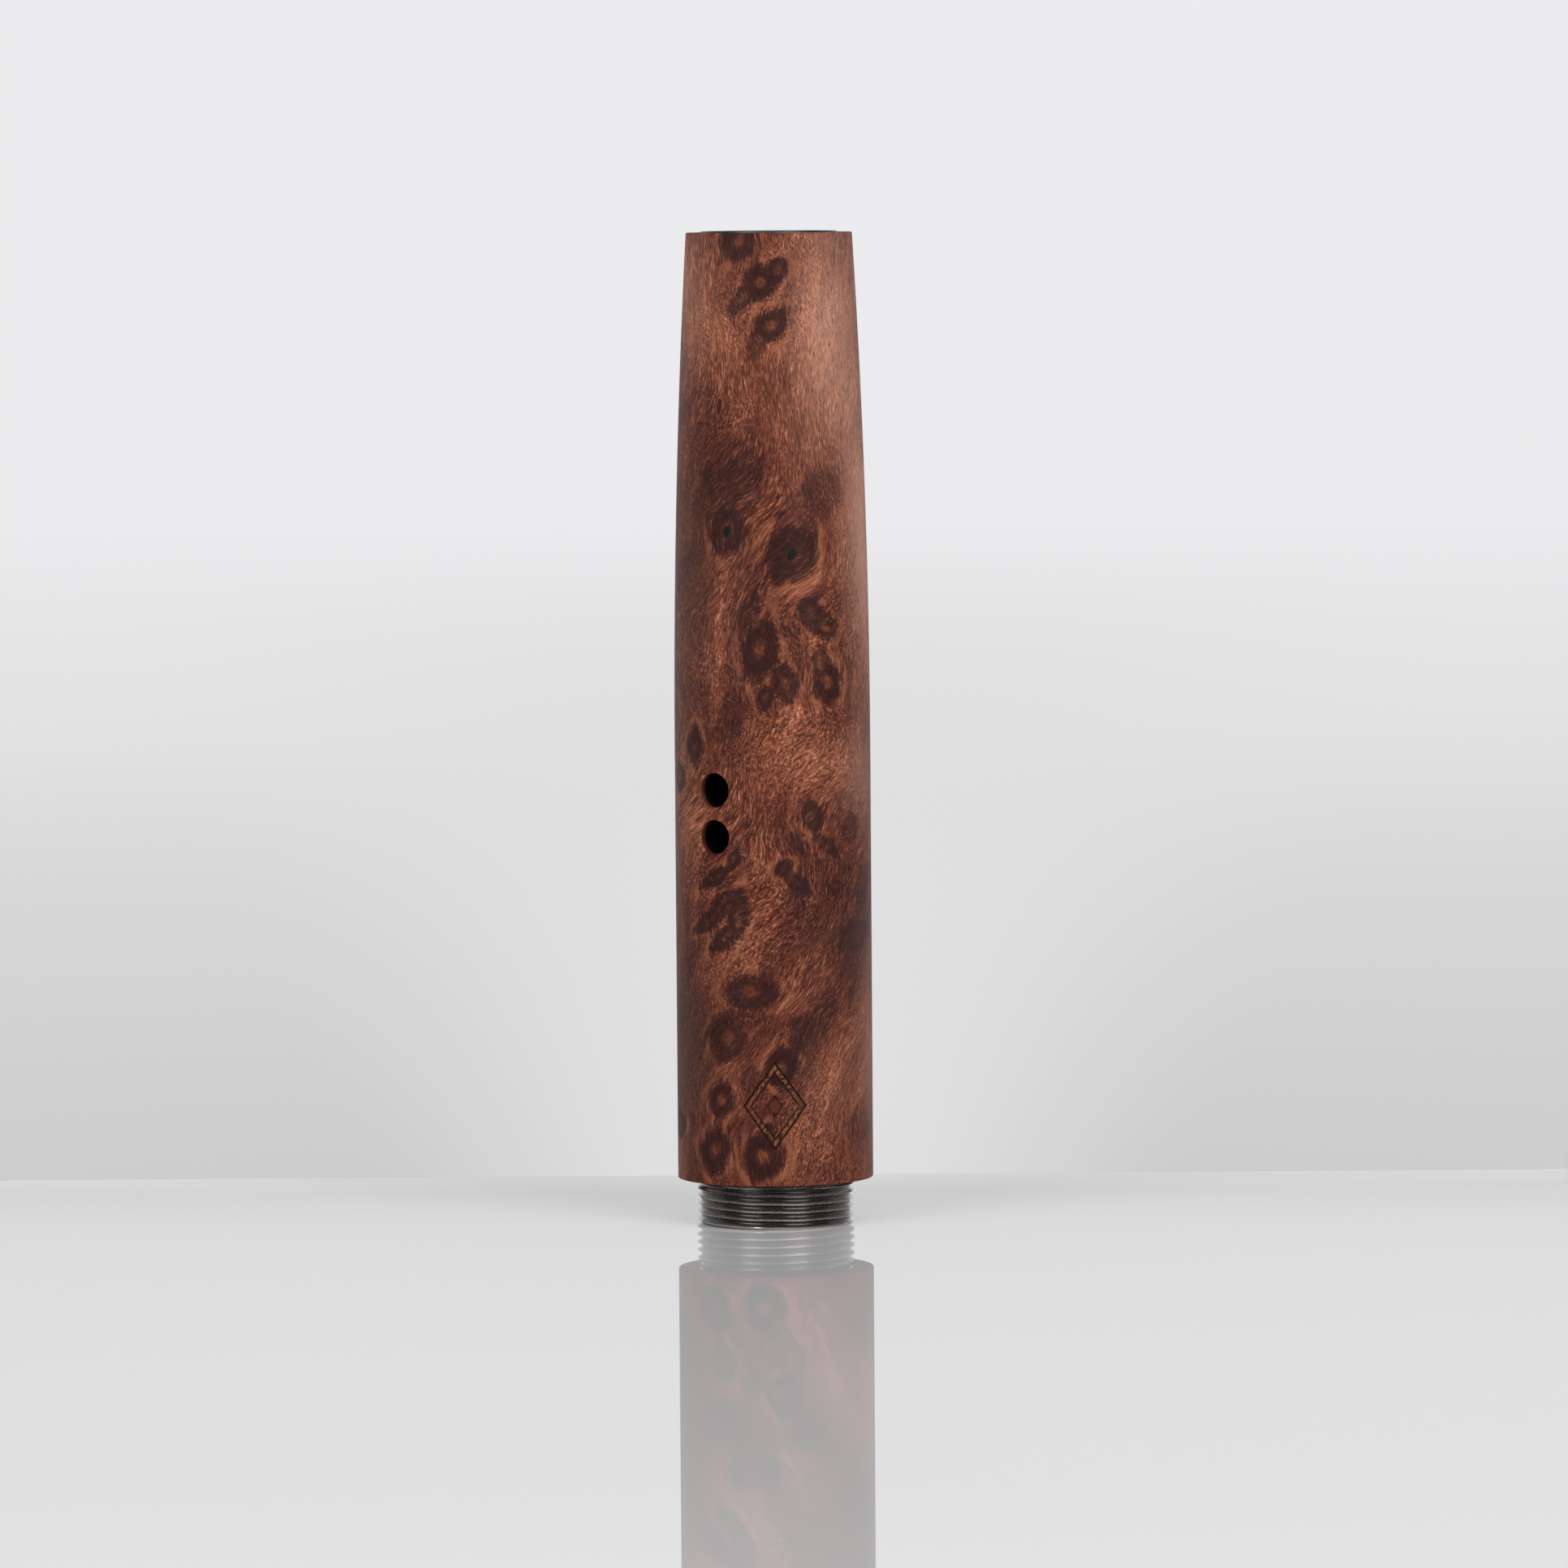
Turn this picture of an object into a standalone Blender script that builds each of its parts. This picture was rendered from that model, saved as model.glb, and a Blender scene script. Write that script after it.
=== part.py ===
"""Dip pen holder: a turned burl-wood barrel on a thin liner tube, with a threaded collar at its lower end.

The collar stands on the ground at z = 0 and the pen's axis is +Z. The nib clutch sits inside the collar.
Written in metres, with the driving dimensions in millimetres times MM.
"""

import math

import bmesh
import bpy

MM = 0.001
GAP = 0.3 * MM              # clearance kept between pieces that touch on the real pen
MERGE = 0.002 * MM          # points closer than this are the same point
SIDES = 64                  # facets round every large turned surface
FINE_SIDES = 32             # facets round the small parts of the nib clutch

# Barrel: straight to SHOULDER_Z, then one long arc up to the top
STUB_LENGTH = 5.8 * MM      # how far the thread stands below the wood
WOOD_LENGTH = 119.8 * MM
BODY_RADIUS = 12.4 * MM
TOP_RADIUS = 10.5 * MM
SHOULDER_Z = 60.0 * MM
EDGE = 0.12 * MM            # the eased arris at each end of the wood
ARC_STEPS = 14
WOOD_BOTTOM = STUB_LENGTH
WOOD_TOP = WOOD_BOTTOM + WOOD_LENGTH

# Vents: two round holes through one side of the barrel and its liner
VENT_RADIUS = 2.1 * MM
VENT_HEIGHTS = (49.8 * MM, 55.7 * MM)
VENT_ANGLE = math.radians(36.6)     # round from the front (-Y) towards -X

# Bore and liner tube
BORE_RADIUS = 8.0 * MM      # clear bore of the liner and of the collar
LINER_WALL = 0.6 * MM
LINER_PROUD = 0.15 * MM     # the liner's end stands this far above the wood
LINER_RADIUS = BORE_RADIUS + LINER_WALL
BARREL_BORE = LINER_RADIUS + GAP

# Threaded collar: M20 x 1 left-hand stub, plain spigot above it
THREAD_MAJOR_RADIUS = 10.0 * MM
THREAD_PITCH = 1.0 * MM
THREAD_DEPTH = 0.6 * MM
THREAD_HAND = -1            # -1 left-hand, +1 right-hand
THREAD_ROOT_RADIUS = THREAD_MAJOR_RADIUS - THREAD_DEPTH
THREAD_CREST = THREAD_PITCH / 8
THREAD_BASE = THREAD_PITCH * 7 / 8
THREAD_STEPS = 48           # facets in one turn of the thread
THREAD_LEAD_IN = 0.35 * MM  # the chamfer that ends the thread at the bottom
RELIEF_WIDTH = 0.35 * MM    # plain neck between the thread and the wood
SPIGOT_RADIUS = 9.8 * MM
SPIGOT_LENGTH = 12.0 * MM   # the part glued up inside the wood
COLLAR_TOP = WOOD_BOTTOM + SPIGOT_LENGTH

# Nib clutch, recessed in the collar
CLUTCH_RECESS = 1.0 * MM
BUSH_RADIUS = BORE_RADIUS - GAP
BUSH_LENGTH = 15.0 * MM
CUP_RADIUS = 4.8 * MM
CUP_DEPTH = 11.0 * MM
PIN_RADIUS = 2.7 * MM
PIN_LENGTH = 8.0 * MM
RING_WALL = 0.5 * MM
RING_LENGTH = CUP_DEPTH - GAP
PRONG_WALL = 0.35 * MM
PRONG_LENGTH = 9.5 * MM
PRONG_SLOT = 1.1 * MM
PRONG_COUNT = 4
PRONG_FLARE = 0.25 * MM     # how far the sprung leaves lean out at their tips

COLOURS = {
    "burl_wood": ((0.205, 0.078, 0.045), 0.45, 0.0),
    "liner_steel": ((0.22, 0.22, 0.21), 0.35, 1.0),
    "gunmetal": ((0.085, 0.082, 0.080), 0.30, 1.0),
    "bush_brass": ((0.60, 0.43, 0.18), 0.35, 1.0),
    "clutch_steel": ((0.42, 0.42, 0.43), 0.30, 1.0),
    "spring_steel": ((0.33, 0.34, 0.36), 0.28, 1.0),
}


def clear_scene():
    for old in list(bpy.data.objects):
        bpy.data.objects.remove(old)


def material(slot):
    colour, roughness, metallic = COLOURS[slot]
    mat = bpy.data.materials.new(slot)
    mat.use_nodes = True
    shader = mat.node_tree.nodes["Principled BSDF"]
    shader.inputs["Base Color"].default_value = (*colour, 1.0)
    shader.inputs["Roughness"].default_value = roughness
    shader.inputs["Metallic"].default_value = metallic
    return mat


def add_object(name, bm, slot=None):
    """Put a finished bmesh in the scene; an object without a material slot is a cutter."""
    mesh = bpy.data.meshes.new(name)
    bm.to_mesh(mesh)
    bm.free()
    obj = bpy.data.objects.new(name, mesh)
    bpy.context.scene.collection.objects.link(obj)
    if slot:
        mesh.materials.append(material(slot))
        mesh.shade_smooth()
        mesh.set_sharp_from_angle(angle=math.radians(35))
    else:
        obj.display_type = "WIRE"
        obj.hide_render = True
    return obj


def turned(outline, sides=SIDES, closed=True):
    """Revolve a (radius, z) outline round +Z; it runs down the outer side and up the bore.

    A closed outline makes a ring or a tube. An open one gets a flat disc at each end.
    """
    bm = bmesh.new()
    rings = []
    for radius, z in outline:
        ring = []
        for i in range(sides):
            angle = 2 * math.pi * i / sides
            ring.append(bm.verts.new((radius * math.cos(angle), radius * math.sin(angle), z)))
        rings.append(ring)
    following = rings[1:] + rings[:1] if closed else rings[1:]
    for upper, lower in zip(rings, following):
        for i in range(sides):
            j = (i + 1) % sides
            bm.faces.new((upper[i], lower[i], lower[j], upper[j]))
    if not closed:
        bm.faces.new(rings[0])
        bm.faces.new(list(reversed(rings[-1])))
    return bm


def cut(obj, cutter):
    boolean = obj.modifiers.new(cutter.name, "BOOLEAN")
    boolean.operation = "DIFFERENCE"
    boolean.solver = "EXACT"
    boolean.object = cutter


def barrel_radius(z):
    """The barrel's outer radius: a cylinder up to the shoulder, then a long shallow arc to the top."""
    rise = max(0.0, (z - SHOULDER_Z) / (WOOD_TOP - SHOULDER_Z))
    return BODY_RADIUS - (BODY_RADIUS - TOP_RADIUS) * rise ** 2


def barrel_profile():
    outline = [(TOP_RADIUS - EDGE, WOOD_TOP)]
    low, high = SHOULDER_Z, WOOD_TOP - EDGE
    for i in range(ARC_STEPS + 1):
        z = high + (low - high) * i / ARC_STEPS
        outline.append((barrel_radius(z), z))
    outline += [
        (BODY_RADIUS, WOOD_BOTTOM + EDGE),
        (BODY_RADIUS - EDGE, WOOD_BOTTOM),
        (SPIGOT_RADIUS + GAP, WOOD_BOTTOM),
        (SPIGOT_RADIUS + GAP, COLLAR_TOP + GAP),
        (BARREL_BORE, COLLAR_TOP + GAP),
        (BARREL_BORE, WOOD_TOP),
    ]
    return outline


def vent_cutters():
    """One round cutter for each vent, from inside the bore out through the barrel's side."""
    reach = BODY_RADIUS * 1.5
    direction = (-math.sin(VENT_ANGLE), -math.cos(VENT_ANGLE))
    cutters = []
    for number, height in enumerate(VENT_HEIGHTS, start=1):
        bm = bmesh.new()
        bmesh.ops.create_cone(bm, cap_ends=True, segments=FINE_SIDES, radius1=VENT_RADIUS,
                              radius2=VENT_RADIUS, depth=reach)
        cutter = add_object(f"vent_cutter_{number}", bm)
        cutter.rotation_euler = (math.pi / 2, 0.0, -VENT_ANGLE)
        cutter.location = (direction[0] * reach / 2, direction[1] * reach / 2, height)
        cutters.append(cutter)
    return cutters


def make_barrel(cutters):
    barrel = add_object("barrel", turned(barrel_profile()), "burl_wood")
    for cutter in cutters:
        cut(barrel, cutter)


def make_liner(cutters):
    top = WOOD_TOP + LINER_PROUD
    bottom = COLLAR_TOP + GAP
    outline = [
        (LINER_RADIUS, top),
        (LINER_RADIUS, bottom),
        (BORE_RADIUS, bottom),
        (BORE_RADIUS, top),
    ]
    liner = add_object("liner_tube", turned(outline), "liner_steel")
    for cutter in cutters:
        cut(liner, cutter)


def thread_radius(z, phase):
    """The collar's outside between the ground and the wood, where a crest runs at the height phase."""
    from_crest = abs((z - phase + THREAD_PITCH / 2) % THREAD_PITCH - THREAD_PITCH / 2)
    flank = (from_crest - THREAD_CREST / 2) / (THREAD_BASE / 2 - THREAD_CREST / 2)
    ridge = THREAD_MAJOR_RADIUS - THREAD_DEPTH * min(1.0, max(0.0, flank))
    lead_in = THREAD_MAJOR_RADIUS - THREAD_LEAD_IN + z
    run_out = THREAD_ROOT_RADIUS + max(0.0, WOOD_BOTTOM - RELIEF_WIDTH - z)
    return min(ridge, lead_in, run_out)


def thread_column(angle):
    """Points up the thread at one angle; their heights follow the helix, so the rows run along it.

    Turns past either end of the stub are pressed flat onto that end.
    """
    phase = THREAD_HAND * THREAD_PITCH * angle / (2 * math.pi)
    middle = (THREAD_BASE + THREAD_CREST) / 4
    offsets = (-THREAD_BASE / 2, -middle, -THREAD_CREST / 2, THREAD_CREST / 2, middle, THREAD_BASE / 2)
    crests = range(-2, math.ceil(WOOD_BOTTOM / THREAD_PITCH) + 3)
    column = []
    for crest in crests:
        for offset in offsets:
            z = min(WOOD_BOTTOM, max(0.0, phase + crest * THREAD_PITCH + offset))
            column.append((thread_radius(z, phase), z))
    return column


def make_collar():
    spigot_bottom = WOOD_BOTTOM + GAP
    upper = [
        (THREAD_ROOT_RADIUS, spigot_bottom),
        (SPIGOT_RADIUS, spigot_bottom),
        (SPIGOT_RADIUS, COLLAR_TOP),
        (BORE_RADIUS, COLLAR_TOP),
        (BORE_RADIUS, 0.0),
    ]
    bm = bmesh.new()
    columns = []
    for i in range(THREAD_STEPS + 1):
        angle = 2 * math.pi * i / THREAD_STEPS
        outline = thread_column(angle) + upper
        column = [bm.verts.new((r * math.cos(angle), r * math.sin(angle), z)) for r, z in outline]
        columns.append(column)
    for column, following in zip(columns, columns[1:]):
        for i in range(len(column)):
            j = (i + 1) % len(column)
            bm.faces.new((column[i], following[i], following[j], column[j]))
    bmesh.ops.remove_doubles(bm, verts=bm.verts, dist=MERGE)
    bmesh.ops.dissolve_degenerate(bm, edges=bm.edges, dist=MERGE)
    bmesh.ops.recalc_face_normals(bm, faces=bm.faces)
    add_object("threaded_collar", bm, "gunmetal")


def make_bush():
    bottom = CLUTCH_RECESS
    top = bottom + BUSH_LENGTH
    cup_top = bottom + CUP_DEPTH
    pin_bottom = cup_top - PIN_LENGTH
    outline = [
        (BUSH_RADIUS, top),
        (BUSH_RADIUS, bottom),
        (CUP_RADIUS, bottom),
        (CUP_RADIUS, cup_top),
        (PIN_RADIUS, cup_top),
        (PIN_RADIUS, pin_bottom),
    ]
    add_object("nib_bush", turned(outline, closed=False), "bush_brass")


def make_ferrule_ring():
    bottom = CLUTCH_RECESS
    top = bottom + RING_LENGTH
    outer = CUP_RADIUS - GAP
    inner = outer - RING_WALL
    outline = [(outer, top), (outer, bottom), (inner, bottom), (inner, top)]
    add_object("ferrule_ring", turned(outline, FINE_SIDES), "clutch_steel")


def make_prongs():
    """A thin sleeve on the bush's pin, slit into leaves that lean out towards the ring."""
    top = CLUTCH_RECESS + CUP_DEPTH - GAP
    bottom = top - PRONG_LENGTH
    inner = PIN_RADIUS + GAP
    outer = inner + PRONG_WALL
    neck = bottom + PRONG_LENGTH * 0.7
    outline = [
        (outer, top),
        (outer, neck),
        (outer + PRONG_FLARE, bottom),
        (inner + PRONG_FLARE, bottom),
        (inner, neck),
        (inner, top),
    ]
    prongs = add_object("nib_prongs", turned(outline, FINE_SIDES), "spring_steel")
    for i in range(PRONG_COUNT // 2):
        bm = bmesh.new()
        bmesh.ops.create_cube(bm, size=1.0)
        slot = add_object(f"prong_slot_{i + 1}", bm)
        slot.scale = (outer * 4, PRONG_SLOT, PRONG_LENGTH)
        slot.rotation_euler = (0.0, 0.0, math.pi * (i / (PRONG_COUNT // 2) + 0.25))
        slot.location = (0.0, 0.0, neck - PRONG_LENGTH / 2)
        cut(prongs, slot)


def main():
    clear_scene()
    cutters = vent_cutters()
    make_barrel(cutters)
    make_liner(cutters)
    make_collar()
    make_bush()
    make_ferrule_ring()
    make_prongs()


main()
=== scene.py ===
import math

import bmesh
import bpy
import numpy as np
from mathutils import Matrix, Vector


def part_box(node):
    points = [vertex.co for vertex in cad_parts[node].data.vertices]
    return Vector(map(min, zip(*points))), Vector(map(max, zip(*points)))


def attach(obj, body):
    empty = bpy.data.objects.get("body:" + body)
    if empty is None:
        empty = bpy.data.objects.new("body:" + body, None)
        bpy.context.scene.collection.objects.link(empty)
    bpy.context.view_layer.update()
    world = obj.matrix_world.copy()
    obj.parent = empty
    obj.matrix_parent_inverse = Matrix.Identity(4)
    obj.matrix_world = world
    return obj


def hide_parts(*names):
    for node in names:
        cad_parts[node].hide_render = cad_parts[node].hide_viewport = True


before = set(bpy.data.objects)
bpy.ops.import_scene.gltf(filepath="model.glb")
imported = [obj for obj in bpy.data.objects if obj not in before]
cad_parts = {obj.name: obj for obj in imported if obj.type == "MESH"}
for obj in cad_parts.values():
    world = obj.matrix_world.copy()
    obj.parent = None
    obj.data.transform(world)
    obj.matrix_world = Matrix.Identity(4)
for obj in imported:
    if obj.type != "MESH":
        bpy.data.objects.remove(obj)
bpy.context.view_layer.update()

MM = 0.001

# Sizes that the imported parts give
barrel_low, barrel_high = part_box("barrel")
liner_low, liner_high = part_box("liner_tube")
_, collar_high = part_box("threaded_collar")
bush_low, bush_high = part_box("nib_bush")
ring_low, ring_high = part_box("ferrule_ring")
prong_low, prong_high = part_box("nib_prongs")
WOOD_BOTTOM, WOOD_TOP = barrel_low.z, barrel_high.z
BODY_RADIUS = barrel_high.x
THREAD_MAJOR_RADIUS = collar_high.x
COLLAR_TOP = collar_high.z

# Sizes inside the parts, as the design has them
TOP_RADIUS = 10.5 * MM
SHOULDER_Z = 60.0 * MM
BORE_RADIUS = 8.0 * MM
SPIGOT_RADIUS = 9.8 * MM
VENT_RADIUS = 2.1 * MM
VENT_HEIGHTS = (49.8 * MM, 55.7 * MM)
VENT_ANGLE = math.radians(-36.6)
THREAD_PITCH = 1.0 * MM
THREAD_DEPTH = 0.6 * MM
THREAD_HAND = -1
THREAD_ROOT_RADIUS = THREAD_MAJOR_RADIUS - THREAD_DEPTH
LEAD_IN = 0.35 * MM
RELIEF_WIDTH = 0.35 * MM
PIN_RADIUS = 2.7 * MM
PIN_SETBACK = 1.5 * MM      # the pin ends this far above the prongs' lower ends
RING_WALL = 0.5 * MM
LEAF_THICKNESS = 0.35 * MM
NECK_SHARE = 0.7            # the prongs' leaves start this far up their length
SLOT_WIDTH = 1.1 * MM

# Sizes for the visible model
VENT_EASE = 0.09 * MM       # the vents' radius is this much larger in the wood than in the liner
FIT = 0.06 * MM             # the hairline between two fitted pieces
EDGE_ROUND = 0.12 * MM
BUSH_ROUND = 0.20 * MM
PRONG_ROUND = 0.08 * MM
BORE_CHAMFER = 0.1 * MM
BUSH_CAP, PIN_CAP = 1.5 * MM, 1.0 * MM      # how far in from the edge the flat ends' own faces start
# The distance from a crest, in half pitches, where its rounding ends and where the root's starts
CREST_ROUND, ROOT_ROUND = 0.10, 0.30

# A plain diamond cut into the front: heights and widths are half sizes
DIAMOND_Z = 16.0 * MM
DIAMOND_WIDTHS = (4.1 * MM, 2.95 * MM)
DIAMOND_HEIGHTS = (5.6 * MM, 4.03 * MM)
DIAMOND_DOT = (1.03 * MM, 1.40 * MM)
DIAMOND_DEPTH = 0.25 * MM

# Fineness of the visible meshes
BARREL_SIDES = 256
BARREL_STEP = 0.45 * MM
BORE_ROWS = 24
VENT_SIDES = 96
THREAD_SIDES = 360
THREAD_ROWS = 14            # rows in one pitch of the thread
METAL_SIDES = 128
ROUND_STEPS = 4             # steps in a rounded corner
SHARP_ANGLE = math.radians(35)
MERGE_DISTANCE = 0.001 * MM


# ---------------------------------------------------------------- mesh helpers

def add_mesh(name, bm, mats):
    mesh = bpy.data.meshes.new(name)
    bm.to_mesh(mesh)
    bm.free()
    for mat in mats:
        mesh.materials.append(mat)
    mesh.shade_smooth()
    mesh.set_sharp_from_angle(angle=SHARP_ANGLE)
    obj = bpy.data.objects.new(name, mesh)
    bpy.context.scene.collection.objects.link(obj)
    return obj


def turned(outline, sides, closed=True):
    """Revolve a (radius, z) outline round +Z, down its outer side and up its bore."""
    bm = bmesh.new()
    rings = []
    for radius, z in outline:
        ring = []
        for i in range(sides):
            angle = 2 * math.pi * i / sides
            ring.append(bm.verts.new((radius * math.cos(angle), radius * math.sin(angle), z)))
        rings.append(ring)
    following = rings[1:] + rings[:1] if closed else rings[1:]
    for upper, lower in zip(rings, following):
        for i in range(sides):
            j = (i + 1) % sides
            bm.faces.new((upper[i], lower[i], lower[j], upper[j]))
    if not closed:
        bm.faces.new(rings[0])
        bm.faces.new(list(reversed(rings[-1])))
    return bm


def rounded(corners, size, closed=True):
    """Round an outline's corners with arc-like curves that start size away from each."""
    outline = []
    count = len(corners)
    for i, (radius, z) in enumerate(corners):
        if not closed and i in (0, count - 1):
            outline.append((radius, z))
            continue
        before = Vector(corners[i - 1])
        after = Vector(corners[(i + 1) % count])
        corner = Vector((radius, z))
        back, on = before - corner, after - corner
        start = corner + back.normalized() * min(size, back.length / 2)
        end = corner + on.normalized() * min(size, on.length / 2)
        for k in range(ROUND_STEPS + 1):
            t = k / ROUND_STEPS
            point = start * (1 - t) ** 2 + corner * 2 * t * (1 - t) + end * t ** 2
            outline.append((point.x, point.y))
    return outline


def finish_piece(obj, node):
    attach(obj, "root")
    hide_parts(node)


# ------------------------------------------------------------ node-tree helpers

class Nodes:
    """Builds a material's node tree; most methods return the socket that the next one takes."""

    def __init__(self, name):
        self.material = bpy.data.materials.new(name)
        self.material.use_nodes = True
        self.tree = self.material.node_tree
        self.shader = self.tree.nodes["Principled BSDF"]

    def add(self, kind):
        return self.tree.nodes.new("ShaderNode" + kind)

    def plug(self, value, socket):
        if isinstance(value, bpy.types.NodeSocket):
            self.tree.links.new(value, socket)
        else:
            socket.default_value = value

    def attribute(self, name):
        node = self.add("Attribute")
        node.attribute_name = name
        return node.outputs["Vector"]

    def position(self):
        """The piece's own coordinates, in millimetres."""
        return self.scale(self.add("TexCoord").outputs["Object"], (1 / MM, 1 / MM, 1 / MM))

    def scale(self, vector, factors):
        node = self.add("VectorMath")
        node.operation = "MULTIPLY"
        self.plug(vector, node.inputs[0])
        node.inputs[1].default_value = factors
        return node.outputs[0]

    def split(self, vector):
        node = self.add("SeparateXYZ")
        self.plug(vector, node.inputs[0])
        return node.outputs

    def math(self, operation, a, b=0.0, c=0.0, clamp=False):
        node = self.add("Math")
        node.operation = operation
        node.use_clamp = clamp
        for value, socket in zip((a, b, c), node.inputs):
            self.plug(value, socket)
        return node.outputs[0]

    def radius(self, place):
        """The distance from the barrel's axis."""
        x, y, _ = self.split(place)
        squares = self.math("ADD", self.math("POWER", x, 2.0), self.math("POWER", y, 2.0))
        return self.math("SQRT", squares)

    def noise(self, vector, detail, roughness=0.5, distortion=0.0):
        node = self.add("TexNoise")
        self.plug(vector, node.inputs["Vector"])
        node.inputs["Scale"].default_value = 1.0
        node.inputs["Detail"].default_value = detail
        node.inputs["Roughness"].default_value = roughness
        node.inputs["Distortion"].default_value = distortion
        return node.outputs["Fac"]

    def span(self, value, low, high, to_low=0.0, to_high=1.0, smooth=True):
        """Map low..high to to_low..to_high, held at both ends."""
        node = self.add("MapRange")
        node.interpolation_type = "SMOOTHSTEP" if smooth else "LINEAR"
        self.plug(value, node.inputs["Value"])
        ends = {"From Min": low, "From Max": high, "To Min": to_low, "To Max": to_high}
        for name, number in ends.items():
            node.inputs[name].default_value = number
        return node.outputs["Result"]

    def ramp(self, factor, stops):
        node = self.add("ValToRGB")
        self.plug(factor, node.inputs["Fac"])
        elements = node.color_ramp.elements
        while len(elements) < len(stops):
            elements.new(0.5)
        for element, (place, colour) in zip(elements, stops):
            element.position = place
            rgb = colour if isinstance(colour, tuple) else (colour,) * 3
            element.color = (*rgb, 1.0)
        return node.outputs["Color"]

    def mix(self, factor, a, b):
        node = self.add("Mix")
        node.data_type = "RGBA"
        self.plug(factor, node.inputs[0])
        for value, socket in ((a, node.inputs[6]), (b, node.inputs[7])):
            self.plug((*value, 1.0) if isinstance(value, tuple) else value, socket)
        return node.outputs[2]

    def bump(self, height, distance, strength):
        node = self.add("Bump")
        node.inputs["Strength"].default_value = strength
        node.inputs["Distance"].default_value = distance
        self.plug(height, node.inputs["Height"])
        return node.outputs["Normal"]

    def finish(self, **inputs):
        for name, value in inputs.items():
            socket = self.shader.inputs[name.replace("_", " ").title().replace("Ior", "IOR")]
            self.plug((*value, 1.0) if isinstance(value, tuple) else value, socket)
        return self.material


# -------------------------------------------------------------------- burl wood

# The burl's eyes. Each is degrees round from the front towards +X, height, half width, half height, lean
# to the right in degrees, how dark it is, and how pale its heart is; below 0 the heart has a black pip
# instead. Lengths are in millimetres.
FRONT_EYES = [
    # near the top
    (-21, 124.6, 2.3, 2.6, 50, 0.95, 0.40),
    (23, 123.4, 0.9, 2.0, 0, 0.35, 0.00),
    (6, 120.9, 1.2, 1.7, 35, 1.00, 0.00),
    (-6, 119.4, 1.8, 2.4, 50, 1.00, 0.60),
    (-18, 117.4, 1.0, 2.3, 42, 0.75, 0.00),
    (1, 114.0, 1.6, 2.7, 55, 1.00, 0.30),
    (-8, 111.5, 0.9, 1.9, 40, 0.60, 0.00),
    (-33.5, 103.9, 0.3, 0.9, 8, 1.00, 0.00),
    # upper middle
    (-15, 94.5, 2.0, 3.2, 15, 0.30, 0.00),
    (33, 93.3, 2.4, 2.6, 20, 0.42, 0.00),
    (-27, 88.4, 2.1, 2.9, 25, 0.95, -1.00),
    (12.5, 85.4, 2.7, 3.2, 38, 0.92, -1.00),
    (-13, 78.8, 1.0, 2.6, 10, 0.60, 0.00),
    (24, 77.9, 1.5, 1.9, -20, 0.95, 0.00),
    (34, 76.0, 1.6, 1.4, 0, 0.85, 0.60),
    (13, 75.8, 0.7, 0.9, 0, 0.60, 0.00),
    (-7, 73.6, 1.9, 3.3, 15, 1.00, 0.75),
    (29, 72.2, 1.1, 1.5, 0, 0.85, 0.00),
    (34, 69.3, 2.0, 2.4, -10, 1.00, 0.85),
    (8, 69.1, 1.4, 2.2, -12, 0.92, 0.50),
    (-4, 67.4, 0.9, 1.4, 10, 1.00, 0.00),
    (-25, 65.5, 1.2, 3.0, 0, 0.40, 0.00),
    (-33, 62.8, 1.2, 0.8, 0, 0.55, 0.00),
    # round the vents
    (-52, 61.2, 1.3, 2.2, 0, 0.95, 0.00),
    (-71, 57.0, 1.5, 1.7, 0, 0.95, 0.00),
    (24, 52.3, 1.3, 1.9, -15, 0.90, 0.00),
    (52, 50.6, 1.4, 1.8, 0, 0.60, 0.00),
    (14, 49.2, 0.5, 1.3, -30, 0.80, 0.00),
    (33, 48.6, 0.6, 2.4, -50, 0.75, 0.00),
    (-24, 47.0, 0.7, 1.3, 20, 1.00, 0.00),
    (6, 46.0, 1.2, 0.9, -30, 0.90, 0.00),
    (-36, 44.8, 0.8, 2.5, 58, 0.95, 0.00),
    (14, 44.1, 0.8, 2.0, -50, 0.90, 0.00),
    (40, 43.5, 1.0, 0.8, 0, 0.55, 0.00),
    # lower middle
    (-29, 42.0, 0.8, 2.0, 70, 0.90, 0.00),
    (-21, 39.8, 1.2, 3.0, 8, 1.00, 0.00),
    (-41, 39.2, 0.9, 3.0, 60, 0.90, 0.00),
    (-30, 37.1, 1.1, 2.4, 50, 1.00, 0.00),
    (56, 37.0, 3.2, 1.6, -10, 0.50, 0.00),
    (-4, 34.2, 0.7, 2.0, 0, 0.40, 0.00),
    (-14, 30.3, 2.9, 2.1, 0, 0.90, 0.40),
    (-16, 26.8, 1.6, 1.0, 0, 0.50, 0.00),
    (17, 25.6, 1.3, 1.8, 25, 0.50, 0.00),
    (-28, 24.5, 2.2, 2.8, 10, 0.90, 0.50),
    # near the bottom
    (4, 20.8, 1.8, 2.1, 0, 1.00, 0.80),
    (-16, 19.8, 0.8, 2.4, 10, 0.60, 0.00),
    (-33, 16.6, 1.7, 1.9, 10, 0.95, 0.65),
    (-76, 13.0, 1.7, 1.7, 0, 1.00, 0.00),
    (60, 13.0, 2.2, 2.0, 0, 0.45, 0.00),
    (-4, 12.4, 0.8, 1.2, 0, 0.90, 0.00),
    (-38, 10.2, 1.9, 2.5, 12, 1.00, 0.40),
    (-7, 9.6, 2.2, 2.6, 20, 1.00, 1.00),
]

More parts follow.
